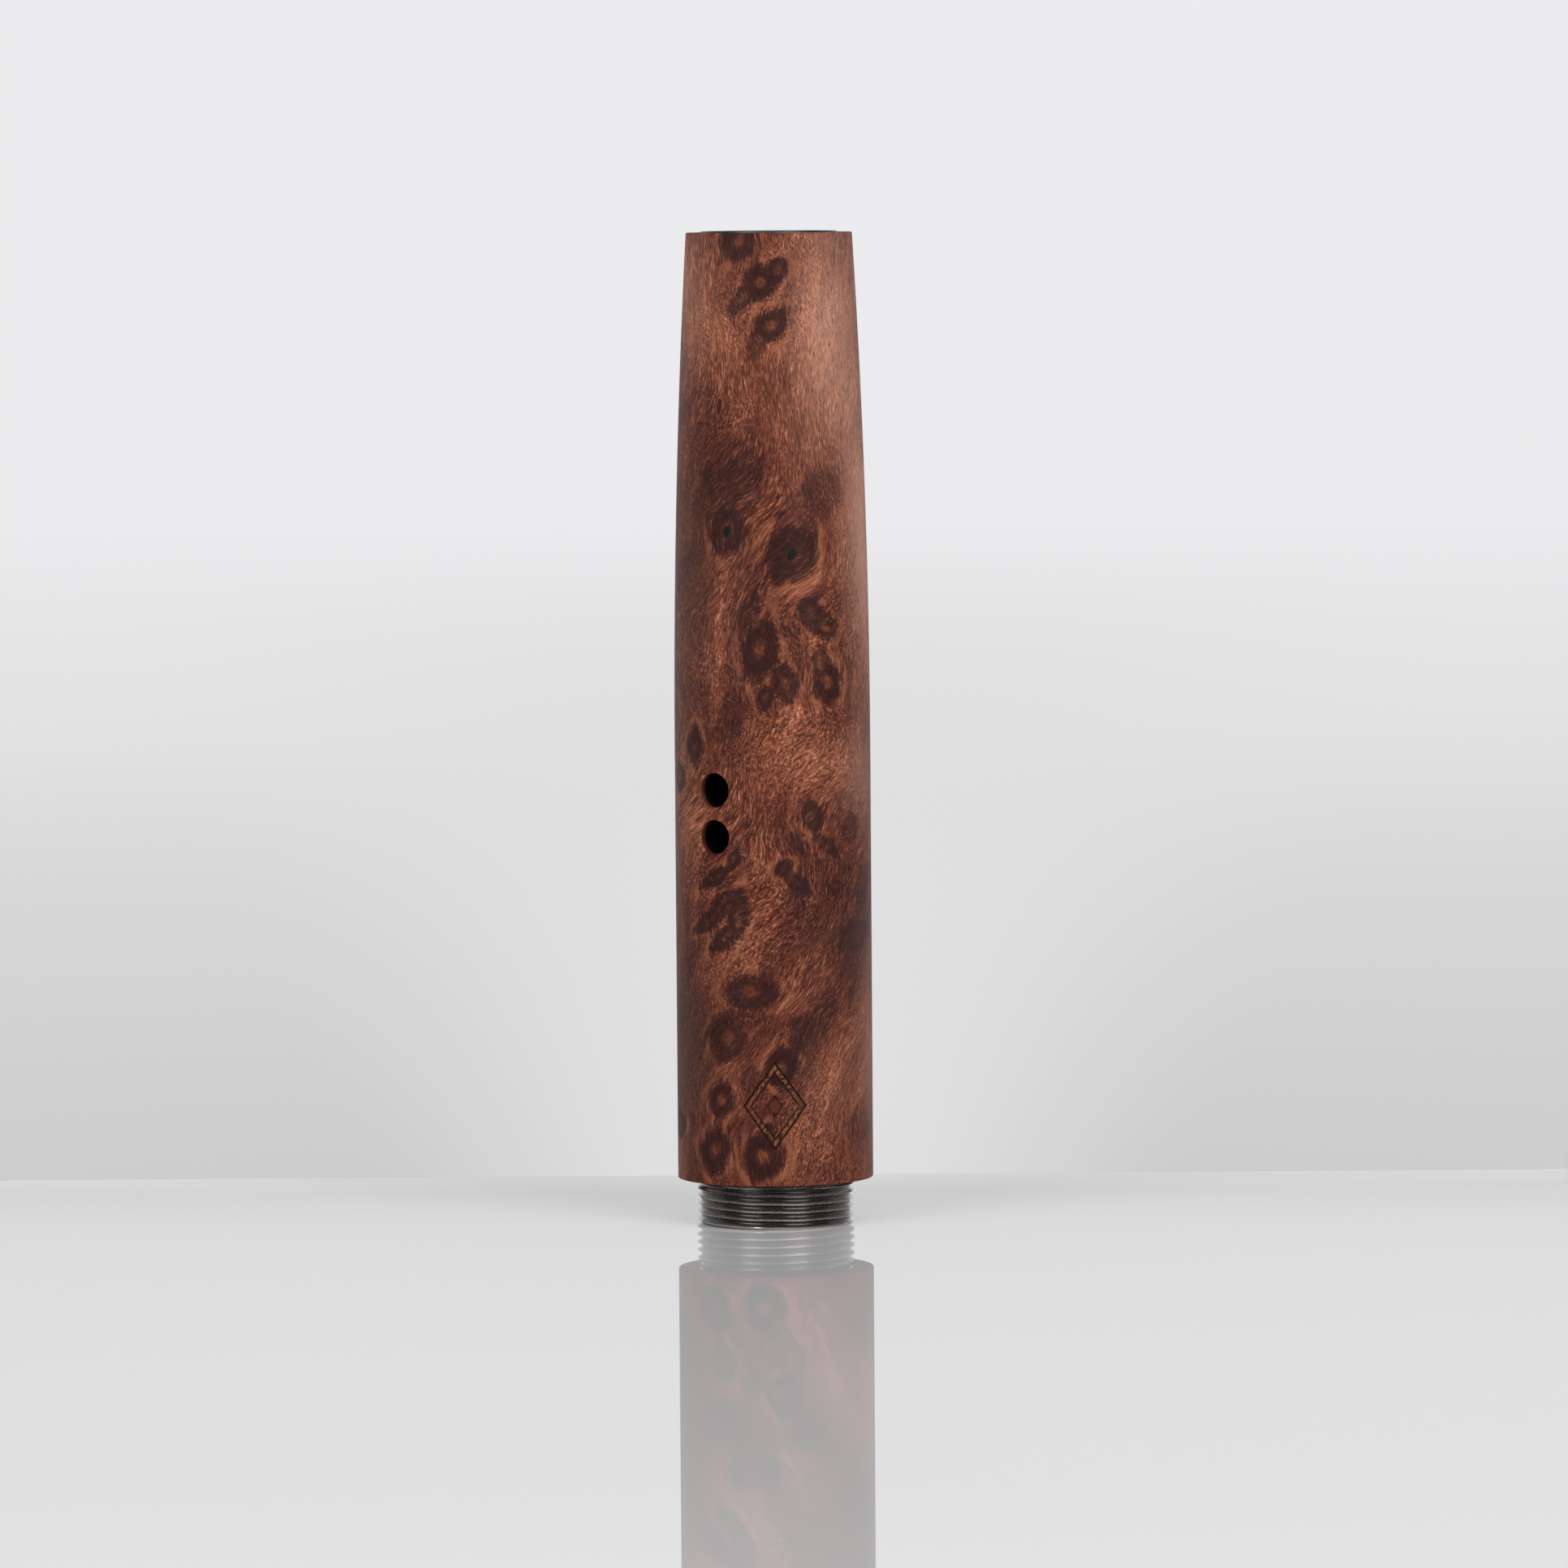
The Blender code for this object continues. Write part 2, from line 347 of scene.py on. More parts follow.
# Lighter and darker areas. Each is degrees round, height, half width, half height and lean as above, then
# how much lighter it makes the wood and how much it blushes towards pale pink. Near the flanks, most on
# the right, the pale pink blush is partly painted sheen as well as the wood's own tone.
FRONT_AREAS = [
    (0, 113, 30.0, 15.0, 0, 0.11, 0.00),
    (0, 22, 40.0, 22.0, 0, -0.09, 0.00),
    (46, 113, 5.5, 13.0, 0, 0.27, 0.75),
    (14, 118, 1.2, 7.0, 0, -0.14, 0.00),
    (-22, 124, 3.6, 2.4, 30, -0.12, 0.00),
    (-7, 118.6, 2.6, 4.6, 52, -0.16, 0.00),
    (-2, 112.8, 2.2, 4.2, 48, -0.12, 0.00),
    (-12, 122.6, 0.6, 3.4, 60, 0.22, 0.00),
    (-6, 116.6, 0.6, 3.2, 60, 0.18, 0.00),
    (28, 116, 1.2, 9.0, 4, 0.10, 0.00),
    (-62, 117, 6.0, 9.0, 0, 0.16, 0.25),
    (12, 103, 6.5, 7.0, 20, 0.10, 0.00),
    (-30, 98, 8.0, 7.0, 0, -0.10, 0.00),
    (70, 88, 4.0, 14.0, 0, 0.38, 0.80),
    (6, 92, 2.5, 5.0, 30, 0.10, 0.00),
    (-18, 92, 6.0, 5.5, 10, -0.16, 0.00),
    (33, 94, 4.5, 5.0, 10, -0.14, 0.00),
    (-55, 80, 6.0, 16.0, 0, -0.20, 0.10),
    (-33, 75, 1.3, 12.0, 2, 0.24, 0.00),
    (24, 82, 1.2, 5.0, 62, 0.26, 0.00),
    (10, 74, 1.0, 4.5, 25, 0.12, 0.00),
    (-52, 54, 2.0, 3.5, 0, 0.12, 0.00),
    (50, 79, 2.5, 3.0, 0, -0.12, 0.00),
    (20, 61, 9.0, 4.5, 0, 0.22, 0.00),
    (28, 57.5, 9.5, 3.0, 0, 0.20, 0.00),
    (62, 57, 4.0, 6.0, 0, 0.10, 0.35),
    (-26, 63, 2.4, 7.0, 0, -0.20, 0.00),
    (-62, 50, 4.5, 6.0, 0, 0.22, 0.00),
    (40, 45, 7.0, 6.5, -20, -0.18, 0.00),
    (-9, 42, 2.4, 12.0, 4, 0.10, 0.00),
    (-45, 42.6, 4.0, 0.8, 0, 0.20, 0.00),
    (60, 37, 6.0, 4.0, -12, -0.20, 0.10),
    (-38, 33, 6.0, 1.6, -25, 0.14, 0.00),
    (15, 30, 6.0, 3.0, 20, 0.10, 0.00),
    (-60, 23, 4.5, 9.0, 0, -0.20, 0.10),
    (18, 24, 2.4, 5.0, 25, -0.18, 0.00),
    (-28, 20.4, 4.0, 1.0, -25, 0.16, 0.00),
    (42, 19, 5.0, 9.0, 10, 0.26, 0.10),
    (75, 20, 3.0, 12.0, 0, 0.10, 0.35),
    (10, 12, 2.2, 6.0, 12, 0.14, 0.00),
]
FRONT_EDGE = 84             # degrees; beyond this the eyes are strewn at random
STREWN_CLUSTERS = 26
STREWN_AREAS = 44
BURL_SEED = 11
EYE_REACH = 1.7             # how far out an eye bends the grain, in eye sizes
EYE_SPREAD = 0.65           # how strongly it spreads the grain apart
EYE_WAIST, EYE_POINT, EYE_LENGTH = 0.88, 0.24, 0.9      # its outline, a little pointed at both ends

# How far the fibres have drifted by some heights, in millimetres round the barrel; minus is to the right
DRIFT_HEIGHTS = (0, 15, 25, 35, 42, 50, 58, 65, 78, 86, 95, 125)
DRIFT_LEFT = (0, -3, -8, -13, -18, -23, -25, -25, -25, -25, -25, -27)
DRIFT_RIGHT = (0, -3, -7, -9, -8, -6, -10, -14, -14, -19, -21, -24)


def strewn_eyes(rng):
    """Clusters of eyes for the sides and back; the first eye of a cluster is in its middle."""
    radius = BODY_RADIUS / MM
    eyes = []
    for _ in range(STREWN_CLUSTERS):
        angle = rng.uniform(FRONT_EDGE + 8, 352 - FRONT_EDGE)
        height = rng.uniform(WOOD_BOTTOM / MM + 3, WOOD_TOP / MM - 3)
        lean = rng.uniform(-15, 50)
        size = rng.uniform(1.2, 2.9)
        for k in range(rng.integers(1, 6)):
            turn = rng.uniform(0, 2 * math.pi)
            away = (size + rng.uniform(1.0, 4.5)) * (k > 0)
            half_width = size if k == 0 else rng.uniform(0.6, 1.8)
            half_height = half_width * rng.uniform(1.0, 2.1)
            own_lean = lean + rng.uniform(-20, 20)
            dark = rng.uniform(0.55, 1.0)
            pale = rng.uniform(-0.5, 1.0) * (half_width > 1.0)
            eyes.append((angle + math.degrees(away * math.cos(turn) / radius),
                         height + away * 1.5 * math.sin(turn),
                         half_width, half_height, own_lean, dark, pale))
    return [eye for eye in eyes if FRONT_EDGE < eye[0] < 360 - FRONT_EDGE]


def strewn_areas(rng):
    """Lighter and darker areas for the sides and back."""
    areas = []
    for _ in range(STREWN_AREAS):
        half_width = rng.uniform(1.5, 8)
        areas.append((rng.uniform(FRONT_EDGE + 15, 345 - FRONT_EDGE), rng.uniform(0, 125),
                      half_width, half_width * rng.uniform(0.8, 3.0), rng.uniform(-20, 40),
                      rng.uniform(-0.26, 0.28), rng.uniform(0.0, 0.3)))
    return areas


def across_and_along(u, v, spot):
    """The distance from a spot's middle across and along its long axis, in its half sizes."""
    degrees, height, half_width, half_height, lean = spot[:5]
    radius = BODY_RADIUS / MM
    around = 2 * math.pi * radius
    du = (u - radius * math.radians(degrees) + around / 2) % around - around / 2
    dv = v - height
    c, s = math.cos(math.radians(lean)), math.sin(math.radians(lean))
    return (du * c - dv * s) / half_width, (du * s + dv * c) / half_height


def burl_fields(points):
    """What the burl material needs to know at some points, with lengths in millimetres.

    grain: the point's own coordinates, bent so that lines of constant x and y run along the fibres, up
    the barrel with a lean and apart round each eye.
    eye: the distance to the nearest eye in eye sizes, how dark it is and how pale its heart is.
    area: how much lighter the wood is here, how much it blushes, which is partly painted sheen, and the
    distance from the middle of the diamond, which is 1 on its outline.
    """
    x, y, z = points.T
    radius = BODY_RADIUS / MM
    u, v = radius * np.arctan2(x, -y), z
    rng = np.random.default_rng(BURL_SEED)
    total, tone, heart, weight, lighter, blush_and_sheen = np.full((6, len(points)), 1e-6)
    shift_u, shift_v = np.zeros((2, len(points)))
    nearest = np.full(len(points), 9.0)
    for spot in FRONT_EYES + strewn_eyes(rng):
        half_width, half_height, lean, dark, pale = spot[2:]
        across, along = across_and_along(u, v, spot)
        distance = np.hypot(across * (EYE_WAIST + EYE_POINT * along ** 2), along * EYE_LENGTH)
        push = np.exp(-(distance / EYE_REACH) ** 2) * dark
        shift_u -= push * across * half_width * math.cos(math.radians(lean))
        shift_v += push * across * half_width * math.sin(math.radians(lean))
        weight += push
        near = np.exp(-4 * distance ** 2) + 1e-9
        total += near
        tone += near * dark
        heart += near * pale
        nearest = np.minimum(nearest, distance)
    for spot in FRONT_AREAS + strewn_areas(rng):
        inside = np.exp(-np.hypot(*across_and_along(u, v, spot)) ** 2)
        lighter += inside * spot[5]
        blush_and_sheen += inside * spot[6]
    calm = EYE_SPREAD / np.maximum(1.0, weight)
    u2, v2 = u + shift_u * calm, v + shift_v * calm
    # the fibres lean to the right, more on the left flank than on the right one, and sway a little
    left = np.interp(v2, DRIFT_HEIGHTS, DRIFT_LEFT)
    right = np.interp(v2, DRIFT_HEIGHTS, DRIFT_RIGHT)
    side = 0.5 - 0.5 * np.cos(u2 / radius + math.pi / 2)
    sway = 1.3 * np.sin(v2 / 9.0 + 1.5 * np.sin(u2 / 7.8)) + 0.7 * np.sin(v2 / 4.1 + u2 / 3.9)
    angle = (u2 + left + (right - left) * (1 - side) + sway) / radius
    depth = np.hypot(x, y)
    half_width, half_height = DIAMOND_WIDTHS[0] / MM, DIAMOND_HEIGHTS[0] / MM
    diamond = np.abs(u) / half_width + np.abs(v - DIAMOND_Z / MM) / half_height
    return {
        "grain": np.stack((depth * np.sin(angle), -depth * np.cos(angle), v2), axis=1),
        "eye": np.stack((nearest, tone / total, heart / total), axis=1),
        "area": np.stack((lighter, np.clip(blush_and_sheen, 0, 1), diamond), axis=1),
    }


def paint_burl(obj):
    mesh = obj.data
    points = np.zeros(len(mesh.vertices) * 3)
    mesh.vertices.foreach_get("co", points)
    for name, values in burl_fields(points.reshape(-1, 3) / MM).items():
        layer = mesh.attributes.new(name, "FLOAT_VECTOR", "POINT")
        layer.data.foreach_set("vector", values.astype(np.float32).ravel())


WOOD_TONES = [
    (0.00, (0.026, 0.006, 0.005)),
    (0.25, (0.068, 0.016, 0.011)),
    (0.50, (0.150, 0.040, 0.021)),
    (0.75, (0.310, 0.102, 0.052)),
    (1.00, (0.600, 0.250, 0.135)),
]
EYE_DARK = (0.024, 0.007, 0.007)
EYE_HEART = (0.210, 0.062, 0.026)
EYE_HALO = (0.330, 0.112, 0.054)
PIP_BLACK = (0.008, 0.006, 0.006)
PORE_DARK = (0.040, 0.014, 0.010)
FLECK_PALE = (0.560, 0.280, 0.170)
BLUSH_AND_SHEEN_PINK = (0.520, 0.300, 0.235)
BURNT = (0.090, 0.026, 0.012)
SCRAPED_DARK = (0.020, 0.006, 0.003)
SCRAPED_PALE = (0.260, 0.095, 0.045)
VENT_DEPTH_BLACK = (0.004, 0.003, 0.003)

# How fast each noise changes, per millimetre: both ways across the fibres, then along them
BROAD_SCALE = (0.20, 0.20, 0.075)
STREAK_SCALE = (1.1, 1.1, 0.20)
FIBRE_SCALE = (6.0, 6.0, 0.85)
SPECKLE_SCALE = (5.5, 5.5, 2.1)
OBLIQUE_SCALE = (0.12, 0.12, 0.10)      # where the fibres are cut across and show as speckles
PORE_SCALE = (5.5, 5.5, 0.9)
FLECK_SCALE = (6.0, 6.0, 1.6)

# How much each noise counts in the figure, and the figure where the noises are at their middle
BROAD_WEIGHT, STREAK_WEIGHT, MIDDLE_TONE = 0.70, 0.58, 0.40
FINE_DARK_WEIGHT, FINE_LIGHT_WEIGHT = 2.25, 1.65        # single fibres, in darker and in lighter areas

# Strength of an eye's dark ring by half the ragged distance, and of its light line by 0.4 of it
RING_STOPS = [(0.05, 0.50), (0.14, 0.66), (0.26, 0.97), (0.46, 0.94), (0.58, 0.34), (0.76, 0.0)]
HALO_STOPS = [(0.45, 0.0), (0.56, 0.72), (0.74, 0.0)]
GROWTH_RINGS = 26.0         # faint rings inside an eye, in radians for each eye size


def burl_material():
    n = Nodes("burl_wood")
    grain = n.attribute("grain")
    distance, tone, heart = n.split(n.attribute("eye"))
    lighter, blush_and_sheen, diamond = n.split(n.attribute("area"))
    place = n.position()
    z = n.split(place)[2]

    # figure: broad light and dark bands, then narrower streaks, then single fibres
    broad = n.noise(n.scale(grain, BROAD_SCALE), detail=3, roughness=0.55, distortion=0.6)
    streak = n.noise(n.scale(grain, STREAK_SCALE), detail=4, roughness=0.6)
    fibre = n.noise(n.scale(grain, FIBRE_SCALE), detail=2, roughness=0.8)
    speckle = n.noise(n.scale(grain, SPECKLE_SCALE), detail=2, roughness=0.8)
    oblique = n.span(n.noise(n.scale(grain, OBLIQUE_SCALE), detail=1), 0.42, 0.58)
    fine = n.mix(oblique, fibre, speckle)
    figure = n.math("MULTIPLY_ADD", n.math("SUBTRACT", broad, 0.5), BROAD_WEIGHT, MIDDLE_TONE)
    figure = n.math("MULTIPLY_ADD", n.math("SUBTRACT", streak, 0.5), STREAK_WEIGHT, figure)
    fine_weight = n.span(lighter, 0.08, 0.36, FINE_DARK_WEIGHT, FINE_LIGHT_WEIGHT)
    figure = n.math("MULTIPLY_ADD", n.math("SUBTRACT", fine, 0.5), fine_weight, figure)
    figure = n.math("ADD", figure, lighter)
    wood = n.ramp(figure, WOOD_TONES)
    # pale pink blush: partly the wood's own tone, partly painted sheen on the flanks
    wood = n.mix(n.math("MULTIPLY", blush_and_sheen, 0.6), wood, BLUSH_AND_SHEEN_PINK)

    # eyes: a ragged dark ring with faint growth rings, a pale heart or a black pip, and here and there a
    # light line outside; each noise's own middle is taken off again
    wobble = n.noise(n.scale(place, (0.8, 0.8, 0.8)), detail=1)
    smooth = n.math("MULTIPLY_ADD", wobble, 0.30, distance)
    smooth = n.math("SUBTRACT", smooth, 0.15)
    dents = n.noise(n.scale(place, (0.45, 0.45, 0.45)), detail=3)
    ragged = n.math("MULTIPLY_ADD", dents, 0.60, distance)
    ragged = n.math("MULTIPLY_ADD", streak, 0.50, ragged)
    ragged = n.math("MULTIPLY_ADD", fine, 0.45, ragged)
    ragged = n.math("SUBTRACT", ragged, 0.775)
    ring = n.math("MULTIPLY", n.ramp(n.math("DIVIDE", ragged, 2.0), RING_STOPS), tone)
    growth = n.math("SINE", n.math("MULTIPLY", smooth, GROWTH_RINGS))
    ring = n.math("MULTIPLY", ring, n.math("MULTIPLY_ADD", growth, 0.05, 0.97))
    outlined = n.math("MULTIPLY", n.span(tone, 0.75, 1.0), n.span(streak, 0.40, 0.60))
    halo = n.math("MULTIPLY", n.ramp(n.math("DIVIDE", ragged, 2.5), HALO_STOPS), outlined)
    wood = n.mix(halo, wood, EYE_HALO)
    wood = n.mix(n.math("MULTIPLY", ring, 0.94), wood, EYE_DARK)
    core = n.span(smooth, 0.40, 0.16)
    core = n.math("MULTIPLY", core, n.span(fine, 0.40, 0.55, 0.45, 1.0))
    core = n.math("MULTIPLY", core, n.math("MULTIPLY", heart, 0.8, clamp=True))
    wood = n.mix(core, wood, EYE_HEART)
    has_pip = n.math("MULTIPLY", heart, -1.0, clamp=True)
    pip = n.math("MULTIPLY", n.span(smooth, 0.27, 0.19), has_pip)
    wood = n.mix(pip, wood, PIP_BLACK)

    # fibres over everything: dark open pores and pale flecks
    pores = n.span(n.noise(n.scale(grain, PORE_SCALE), detail=1), 0.60, 0.70)
    flecks = n.span(n.noise(n.scale(grain, FLECK_SCALE), detail=1), 0.62, 0.74)
    flecks = n.math("MULTIPLY", flecks, n.math("SUBTRACT", 1.0, ring))
    wood = n.mix(n.math("MULTIPLY", pores, 0.55), wood, PORE_DARK)
    wood = n.mix(n.math("MULTIPLY", flecks, 0.22), wood, FLECK_PALE)

    # below the taper, the depth under the turned surface tells the cuts: their edges are burnt, the
    # diamond's floor is scraped, and inside the vents the wood darkens to black with depth
    deep = n.math("SUBTRACT", BODY_RADIUS / MM, n.radius(place))
    above_edge = n.span(z, WOOD_BOTTOM / MM + 0.2, WOOD_BOTTOM / MM + 0.5)
    cut_zone = n.math("MULTIPLY", n.span(z, 64.0, 63.0), above_edge)
    burnt = n.span(deep, 0.02, 0.10, to_high=0.80)
    wood = n.mix(n.math("MULTIPLY", cut_zone, burnt), wood, BURNT)
    cut_floor = n.math("MULTIPLY", n.span(deep, 0.22, 0.24), n.span(deep, 0.27, 0.255))
    bare = n.math("MULTIPLY", n.span(diamond, 0.76, 0.82), n.span(diamond, 0.96, 0.90))
    bare = n.math("ADD", bare, n.span(diamond, 0.20, 0.14))
    bare = n.math("MULTIPLY", bare, n.span(fine, 0.40, 0.60))
    scraped = n.mix(bare, SCRAPED_DARK, SCRAPED_PALE)
    wood = n.mix(n.math("MULTIPLY", cut_zone, cut_floor), wood, scraped)
    wood = n.mix(n.math("MULTIPLY", cut_zone, n.span(deep, 0.35, 1.00)), wood, VENT_DEPTH_BLACK)

    height = n.math("MULTIPLY_ADD", pores, -0.8, fine)
    rough = n.math("ADD", n.span(fine, 0.3, 0.7, 0.42, 0.56), n.math("MULTIPLY", pores, 0.12))
    return n.finish(base_color=wood, roughness=rough, specular_ior_level=0.10,
                    normal=n.bump(height, 0.05 * MM, 0.7))


# ----------------------------------------------------------------------- barrel

def barrel_radius(z):
    rise = max(0.0, (z - SHOULDER_Z) / (WOOD_TOP - SHOULDER_Z))
    return BODY_RADIUS - (BODY_RADIUS - TOP_RADIUS) * rise ** 2


def barrel_outline():
    """Down the outside, then up the stepped bore; both ends have rounded edges."""
    edge = EDGE_ROUND
    rows = round((WOOD_TOP - WOOD_BOTTOM - 2 * edge) / BARREL_STEP)
    outline = []
    for k in range(4):
        turn = math.pi / 2 * k / 4
        outline.append((TOP_RADIUS - edge + edge * math.sin(turn),
                        WOOD_TOP - edge + edge * math.cos(turn)))
    for i in range(rows + 1):
        z = WOOD_TOP - edge - (WOOD_TOP - WOOD_BOTTOM - 2 * edge) * i / rows
        outline.append((barrel_radius(z), z))
    for k in range(1, 5):
        turn = math.pi / 2 * k / 4
        outline.append((BODY_RADIUS - edge + edge * math.cos(turn),
                        WOOD_BOTTOM + edge - edge * math.sin(turn)))
    collar_bore = SPIGOT_RADIUS + FIT
    liner_bore = liner_high.x + FIT
    step = COLLAR_TOP + FIT
    outline += [(collar_bore, WOOD_BOTTOM), (collar_bore, step), (liner_bore, step)]
    for i in range(1, BORE_ROWS + 1):
        outline.append((liner_bore, step + (WOOD_TOP - step) * i / BORE_ROWS))
    outline.append(((liner_bore + TOP_RADIUS) / 2, WOOD_TOP))
    return outline


def vent_cutter(height, radius):
    reach = BODY_RADIUS * 1.5
    bm = bmesh.new()
    bmesh.ops.create_cone(bm, cap_ends=True, segments=VENT_SIDES, radius1=radius, radius2=radius,
                          depth=reach)
    cutter = add_mesh("vent_cutter", bm, [])
    cutter.rotation_euler = (math.pi / 2, 0.0, VENT_ANGLE)
    cutter.location = (math.sin(VENT_ANGLE) * reach / 2, -math.cos(VENT_ANGLE) * reach / 2,
                       height)
    return cutter


def diamond_outline(half_width, half_height, steps=16):
    """Points (arc length, height) round a diamond."""
    tips = [(half_width, 0.0), (0.0, half_height), (-half_width, 0.0), (0.0, -half_height)]
    points = []
    for (x1, z1), (x2, z2) in zip(tips, tips[1:] + tips[:1]):
        for k in range(steps):
            points.append((x1 + (x2 - x1) * k / steps, z1 + (z2 - z1) * k / steps))
    return points


def on_front(point, radius):
    """Wrap an (arc length, height) point of the diamond round the barrel's front."""
    angle = point[0] / BODY_RADIUS
    return (radius * math.sin(angle), -radius * math.cos(angle), DIAMOND_Z + point[1])


def diamond_cutters():
    """A diamond frame and a small diamond in its middle, both with a floor that follows the barrel."""
    floor, above = BODY_RADIUS - DIAMOND_DEPTH, BODY_RADIUS + 0.5 * MM
    bm = bmesh.new()
    outer = diamond_outline(DIAMOND_WIDTHS[0], DIAMOND_HEIGHTS[0])
    inner = diamond_outline(DIAMOND_WIDTHS[1], DIAMOND_HEIGHTS[1])
    loops = []
    for a, b in zip(outer, inner):
        corners = (on_front(a, above), on_front(a, floor), on_front(b, floor), on_front(b, above))
        loops.append([bm.verts.new(corner) for corner in corners])
    for here, there in zip(loops, loops[1:] + loops[:1]):
        for i in range(4):
            j = (i + 1) % 4
            bm.faces.new((here[i], there[i], there[j], here[j]))
    bmesh.ops.recalc_face_normals(bm, faces=bm.faces)
    frame_cutter = add_mesh("diamond_frame_cutter", bm, [])
    bm = bmesh.new()
    dot = diamond_outline(*DIAMOND_DOT, steps=1)
    low = [bm.verts.new(on_front(point, floor)) for point in dot]
    high = [bm.verts.new(on_front(point, above)) for point in dot]
    bm.faces.new(low)
    bm.faces.new(high)
    for i in range(4):
        j = (i + 1) % 4
        bm.faces.new((low[i], low[j], high[j], high[i]))
    bmesh.ops.triangulate(bm, faces=bm.faces)
    bmesh.ops.recalc_face_normals(bm, faces=bm.faces)
    return [frame_cutter, add_mesh("diamond_dot_cutter", bm, [])]


def cut(obj, cutters):
    """Cut with each cutter, keep the result as the piece's mesh and throw the cutters away."""
    for cutter in cutters:
        boolean = obj.modifiers.new("cut", "BOOLEAN")
        boolean.operation = "DIFFERENCE"
        boolean.solver = "EXACT"
        boolean.object = cutter
    bpy.context.view_layer.update()
    evaluated = obj.evaluated_get(bpy.context.evaluated_depsgraph_get())
    mesh = bpy.data.meshes.new_from_object(evaluated)
    bm = bmesh.new()
    bm.from_mesh(mesh)
    bmesh.ops.dissolve_degenerate(bm, edges=bm.edges, dist=MERGE_DISTANCE)
    bm.to_mesh(mesh)
    bm.free()
    obj.modifiers.clear()
    obj.data = mesh
    mesh.set_sharp_from_angle(angle=SHARP_ANGLE)
    for cutter in cutters:
        bpy.data.objects.remove(cutter)


def make_barrel():
    barrel = add_mesh("burl_barrel", turned(barrel_outline(), BARREL_SIDES), [burl_material()])
    vents = [vent_cutter(height, VENT_RADIUS + VENT_EASE) for height in VENT_HEIGHTS]
    cut(barrel, vents + diamond_cutters())
    paint_burl(barrel)
    finish_piece(barrel, "barrel")


# ------------------------------------------------------------------ metal parts

GUNMETAL = (0.40, 0.385, 0.37)
# painted highlight: bright steel on the thread's crests stands in for their reflections
CREST_HIGHLIGHT_STEEL = (0.74, 0.72, 0.69)
DARK_LINER = (0.075, 0.090, 0.082)
BRASS, TARNISHED_BRASS = (0.62, 0.42, 0.17), (0.12, 0.07, 0.03)
CLUTCH_STEEL = (0.50, 0.50, 0.50)
SPRING_STEEL = (0.44, 0.45, 0.47)
# the colour of real stains and specks, and of the painted shade in the thread's roots
STAIN_AND_SHADE = (0.02, 0.018, 0.016)
LATHE_LINES = 0.25
ROOT_PAINTED_SHADE = (0.36, 0.58)     # below the crests, in millimetres: bare metal to the root's painted shade
CREST_PAINTED_HIGHLIGHT = (0.15, 0.04)     # and from bare metal to the crest's painted highlight


def metal_material(name, colour, roughness, dirt=0.3, dark=STAIN_AND_SHADE, crest=None):
    """Turned metal: fine lathe lines round the axis, and darker stains and specks.

    crest is the radius of a thread's crests, in millimetres, which get a painted highlight; its roots
    get painted shade.
    """
    n = Nodes(name)
    place = n.position()
    grooves = n.noise(n.scale(place, (0.15, 0.15, 14.0)), detail=3, roughness=0.7)
    blotch = n.noise(n.scale(place, (0.9, 0.9, 5.0)), detail=4, roughness=0.7)
    specks = n.span(n.noise(n.scale(place, (2.6, 2.6, 5.5)), detail=2), 0.63, 0.70)
    stain = n.math("MULTIPLY", n.span(blotch, 0.5, 0.75), dirt)
    base = n.mix(stain, colour, dark)
    base = n.mix(n.math("MULTIPLY", specks, dirt), base, dark)
    if crest is not None:
        outer = n.radius(place)
        # painted shade in the thread's roots
        low, high = (crest - below for below in ROOT_PAINTED_SHADE)
        base = n.mix(n.span(outer, low, high, to_high=0.86), base, dark)
        # painted highlight on the thread's crests
        low, high = (crest - below for below in CREST_PAINTED_HIGHLIGHT)
        base = n.mix(n.span(outer, low, high, to_high=0.85), base, CREST_HIGHLIGHT_STEEL)
    rough = n.math("MULTIPLY_ADD", blotch, 0.16, roughness - 0.08)
    rough = n.math("MULTIPLY_ADD", specks, 0.3, rough)
    return n.finish(base_color=base, metallic=1.0, roughness=rough,
                    normal=n.bump(grooves, 0.01 * MM, LATHE_LINES))


def make_liner():
    top, bottom, outer = liner_high.z, liner_low.z, liner_high.x
    corners = [(outer, top), (outer, bottom), (BORE_RADIUS, bottom), (BORE_RADIUS, top)]
    mat = metal_material("liner_steel", DARK_LINER, 0.38)
    liner = add_mesh("liner_sleeve", turned(rounded(corners, EDGE_ROUND), METAL_SIDES), [mat])
    cut(liner, [vent_cutter(height, VENT_RADIUS) for height in VENT_HEIGHTS])
    finish_piece(liner, "liner_tube")


def thread_radius(z, phase):
    """The collar's outside below the wood, with rounded crests and roots; one crest is at phase."""
    from_crest = abs((z - phase + THREAD_PITCH / 2) % THREAD_PITCH - THREAD_PITCH / 2)
    t = from_crest / (THREAD_PITCH / 2)
    if t < CREST_ROUND:
        drop = 0.5 * t * t / CREST_ROUND
    else:
        drop = t - CREST_ROUND / 2 - 0.5 * max(0.0, t - ROOT_ROUND) ** 2 / (1 - ROOT_ROUND)
    full = 1 - CREST_ROUND / 2 - 0.5 * (1 - ROOT_ROUND)
    ridge = THREAD_MAJOR_RADIUS - THREAD_DEPTH * drop / full
    lead_in = THREAD_MAJOR_RADIUS - LEAD_IN + z
    run_out = THREAD_ROOT_RADIUS + max(0.0, WOOD_BOTTOM - RELIEF_WIDTH - z)
    return min(ridge, lead_in, run_out)


